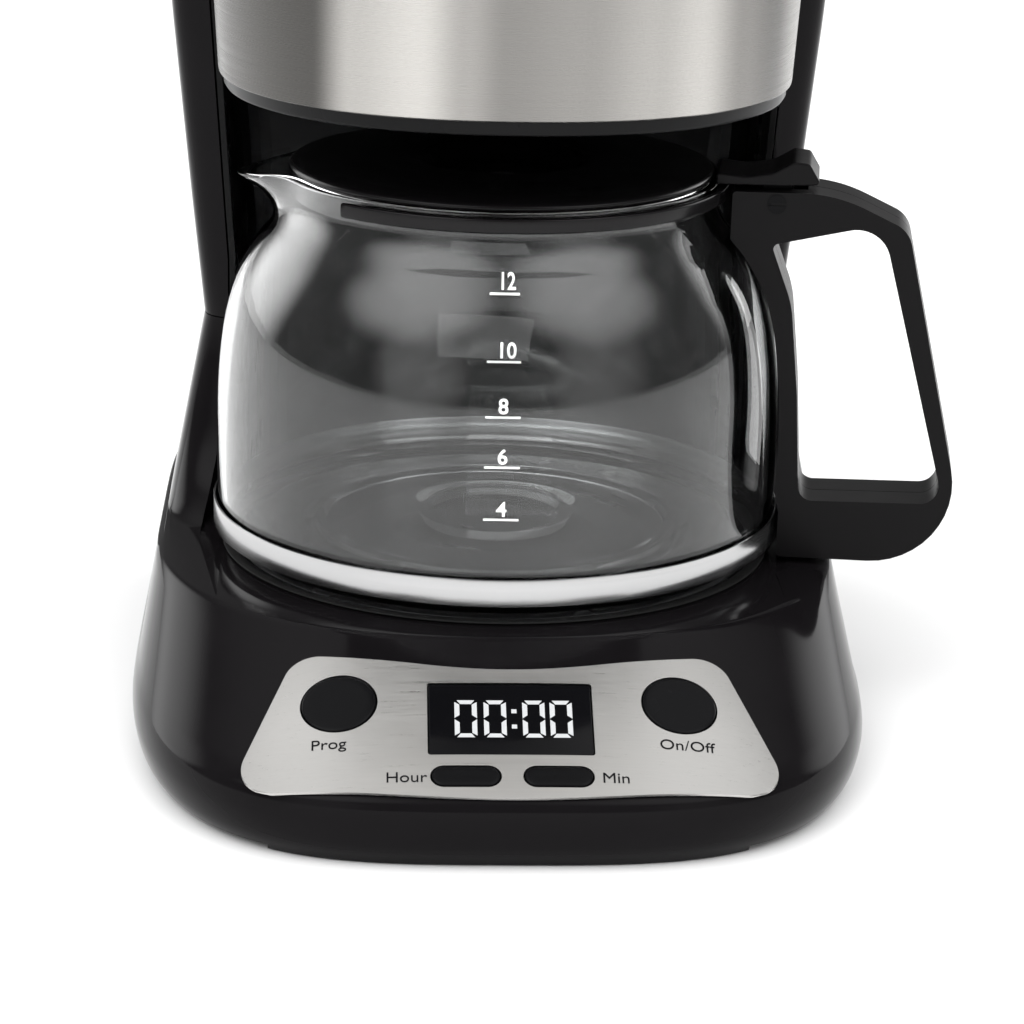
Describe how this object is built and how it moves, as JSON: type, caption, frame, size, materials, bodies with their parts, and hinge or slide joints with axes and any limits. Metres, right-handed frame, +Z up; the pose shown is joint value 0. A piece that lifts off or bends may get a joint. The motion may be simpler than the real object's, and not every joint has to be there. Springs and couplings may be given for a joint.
{
  "type": "drip coffee maker",
  "caption": "Countertop drip coffee maker with a glass carafe, a swing-out brew basket behind a brushed steel front, a rear water tank and a control panel with a display.",
  "frame": {"origin": "centre of the bounding box, on the worktop under the feet", "axes": "-Y to the front where the panel is, +X to the side of the carafe's handle, +Z up"},
  "size_m": [0.225, 0.2644, 0.3345],
  "materials": {
    "gloss_black": "polished",
    "matte_black": "satin",
    "brushed_steel": "brushed",
    "plate_coating": "non-stick coating",
    "rubber": "matte",
    "glass": "clear",
    "aluminium": "as cast",
    "plain_steel": "plain",
    "silicone": "matte",
    "circuit_board": "solder mask",
    "tank_plastic": "moulded"
  },
  "bodies": {
    "machine": {"base_housing": "gloss_black", "base_plate": "matte_black", "foot_front_left": "rubber", "foot_front_right": "rubber", "foot_rear_left": "rubber", "foot_rear_right": "rubber", "cord_gland": "rubber", "hot_plate": "plate_coating", "plate_seal": "rubber", "heater_tube": "aluminium", "thermostat": "plain_steel", "thermal_fuse": "silicone", "control_panel": "brushed_steel", "display_window": "gloss_black", "display_module": "tank_plastic", "control_board": "circuit_board", "prog_switch": "plain_steel", "on_off_switch": "plain_steel", "hour_switch": "plain_steel", "min_switch": "plain_steel", "reservoir": "tank_plastic", "check_valve": "silicone", "cold_hose": "silicone", "hot_hose": "silicone", "riser_tube": "plain_steel", "shower_head": "matte_black", "column_housing": "gloss_black", "top_lid_pin": "plain_steel", "water_window": "glass", "bay_liner": "matte_black", "head_cap": "gloss_black", "swing_pin": "plain_steel", "swing_bracket": "plain_steel"},
    "top_lid_body": {"top_lid": "gloss_black"},
    "brew_unit": {"steel_cladding": "brushed_steel", "basket_holder": "matte_black", "brew_basket": "matte_black", "drip_spring": "plain_steel"},
    "drip_stop": {"drip_plunger": "matte_black", "drip_seal": "silicone"},
    "carafe": {"carafe_glass": "glass", "carafe_band": "brushed_steel", "carafe_collar": "matte_black", "handle_front": "matte_black", "handle_rear": "matte_black", "carafe_lid_pin": "plain_steel"},
    "carafe_lid_body": {"carafe_lid": "matte_black", "thumb_lever": "matte_black"},
    "prog_button_body": {"prog_button": "gloss_black"},
    "on_off_button_body": {"on_off_button": "gloss_black"},
    "hour_button_body": {"hour_button": "gloss_black"},
    "min_button_body": {"min_button": "gloss_black"}
  },
  "joints": [
    {"name": "top_lid_hinge", "type": "hinge", "parent": "machine", "child": "top_lid_body", "pos_m": [-0.0129, 0.129, 0.322], "axis": [-1, 0, 0], "range_deg": [0, 95]},
    {"name": "brew_unit_hinge", "type": "hinge", "parent": "machine", "child": "brew_unit", "pos_m": [-0.07941, 0.0136, 0.17], "axis": [0, 0, -1], "range_deg": [0, 90]},
    {"name": "drip_stop_slide", "type": "slide", "parent": "brew_unit", "child": "drip_stop", "axis": [0, 0, 1], "range_m": [0, 0.0018], "stiffness_N_per_m": 120, "springref_m": -0.002, "deforming": ["drip_spring"]},
    {"name": "carafe_slide", "type": "slide", "parent": "machine", "child": "carafe", "axis": [0, -1, 0], "range_m": [0, 0.24]},
    {"name": "carafe_lid_hinge", "type": "hinge", "parent": "carafe", "child": "carafe_lid_body", "pos_m": [0.06077, -0.00875, 0.1442], "axis": [0.1392, 0.9903, 0], "range_deg": [0, 7]},
    {"name": "prog_press", "type": "slide", "parent": "machine", "child": "prog_button_body", "axis": [0.1266, 0.4331, -0.8924], "range_m": [0, 0.0012], "stiffness_N_per_m": 400, "springref_m": -0.0006},
    {"name": "on_off_press", "type": "slide", "parent": "machine", "child": "on_off_button_body", "axis": [-0.1266, 0.4331, -0.8924], "range_m": [0, 0.0012], "stiffness_N_per_m": 400, "springref_m": -0.0006},
    {"name": "hour_press", "type": "slide", "parent": "machine", "child": "hour_button_body", "axis": [0.0055, 0.4565, -0.8897], "range_m": [0, 0.0012], "stiffness_N_per_m": 400, "springref_m": -0.0006},
    {"name": "min_press", "type": "slide", "parent": "machine", "child": "min_button_body", "axis": [-0.0055, 0.4565, -0.8897], "range_m": [0, 0.0012], "stiffness_N_per_m": 400, "springref_m": -0.0006}
  ]
}
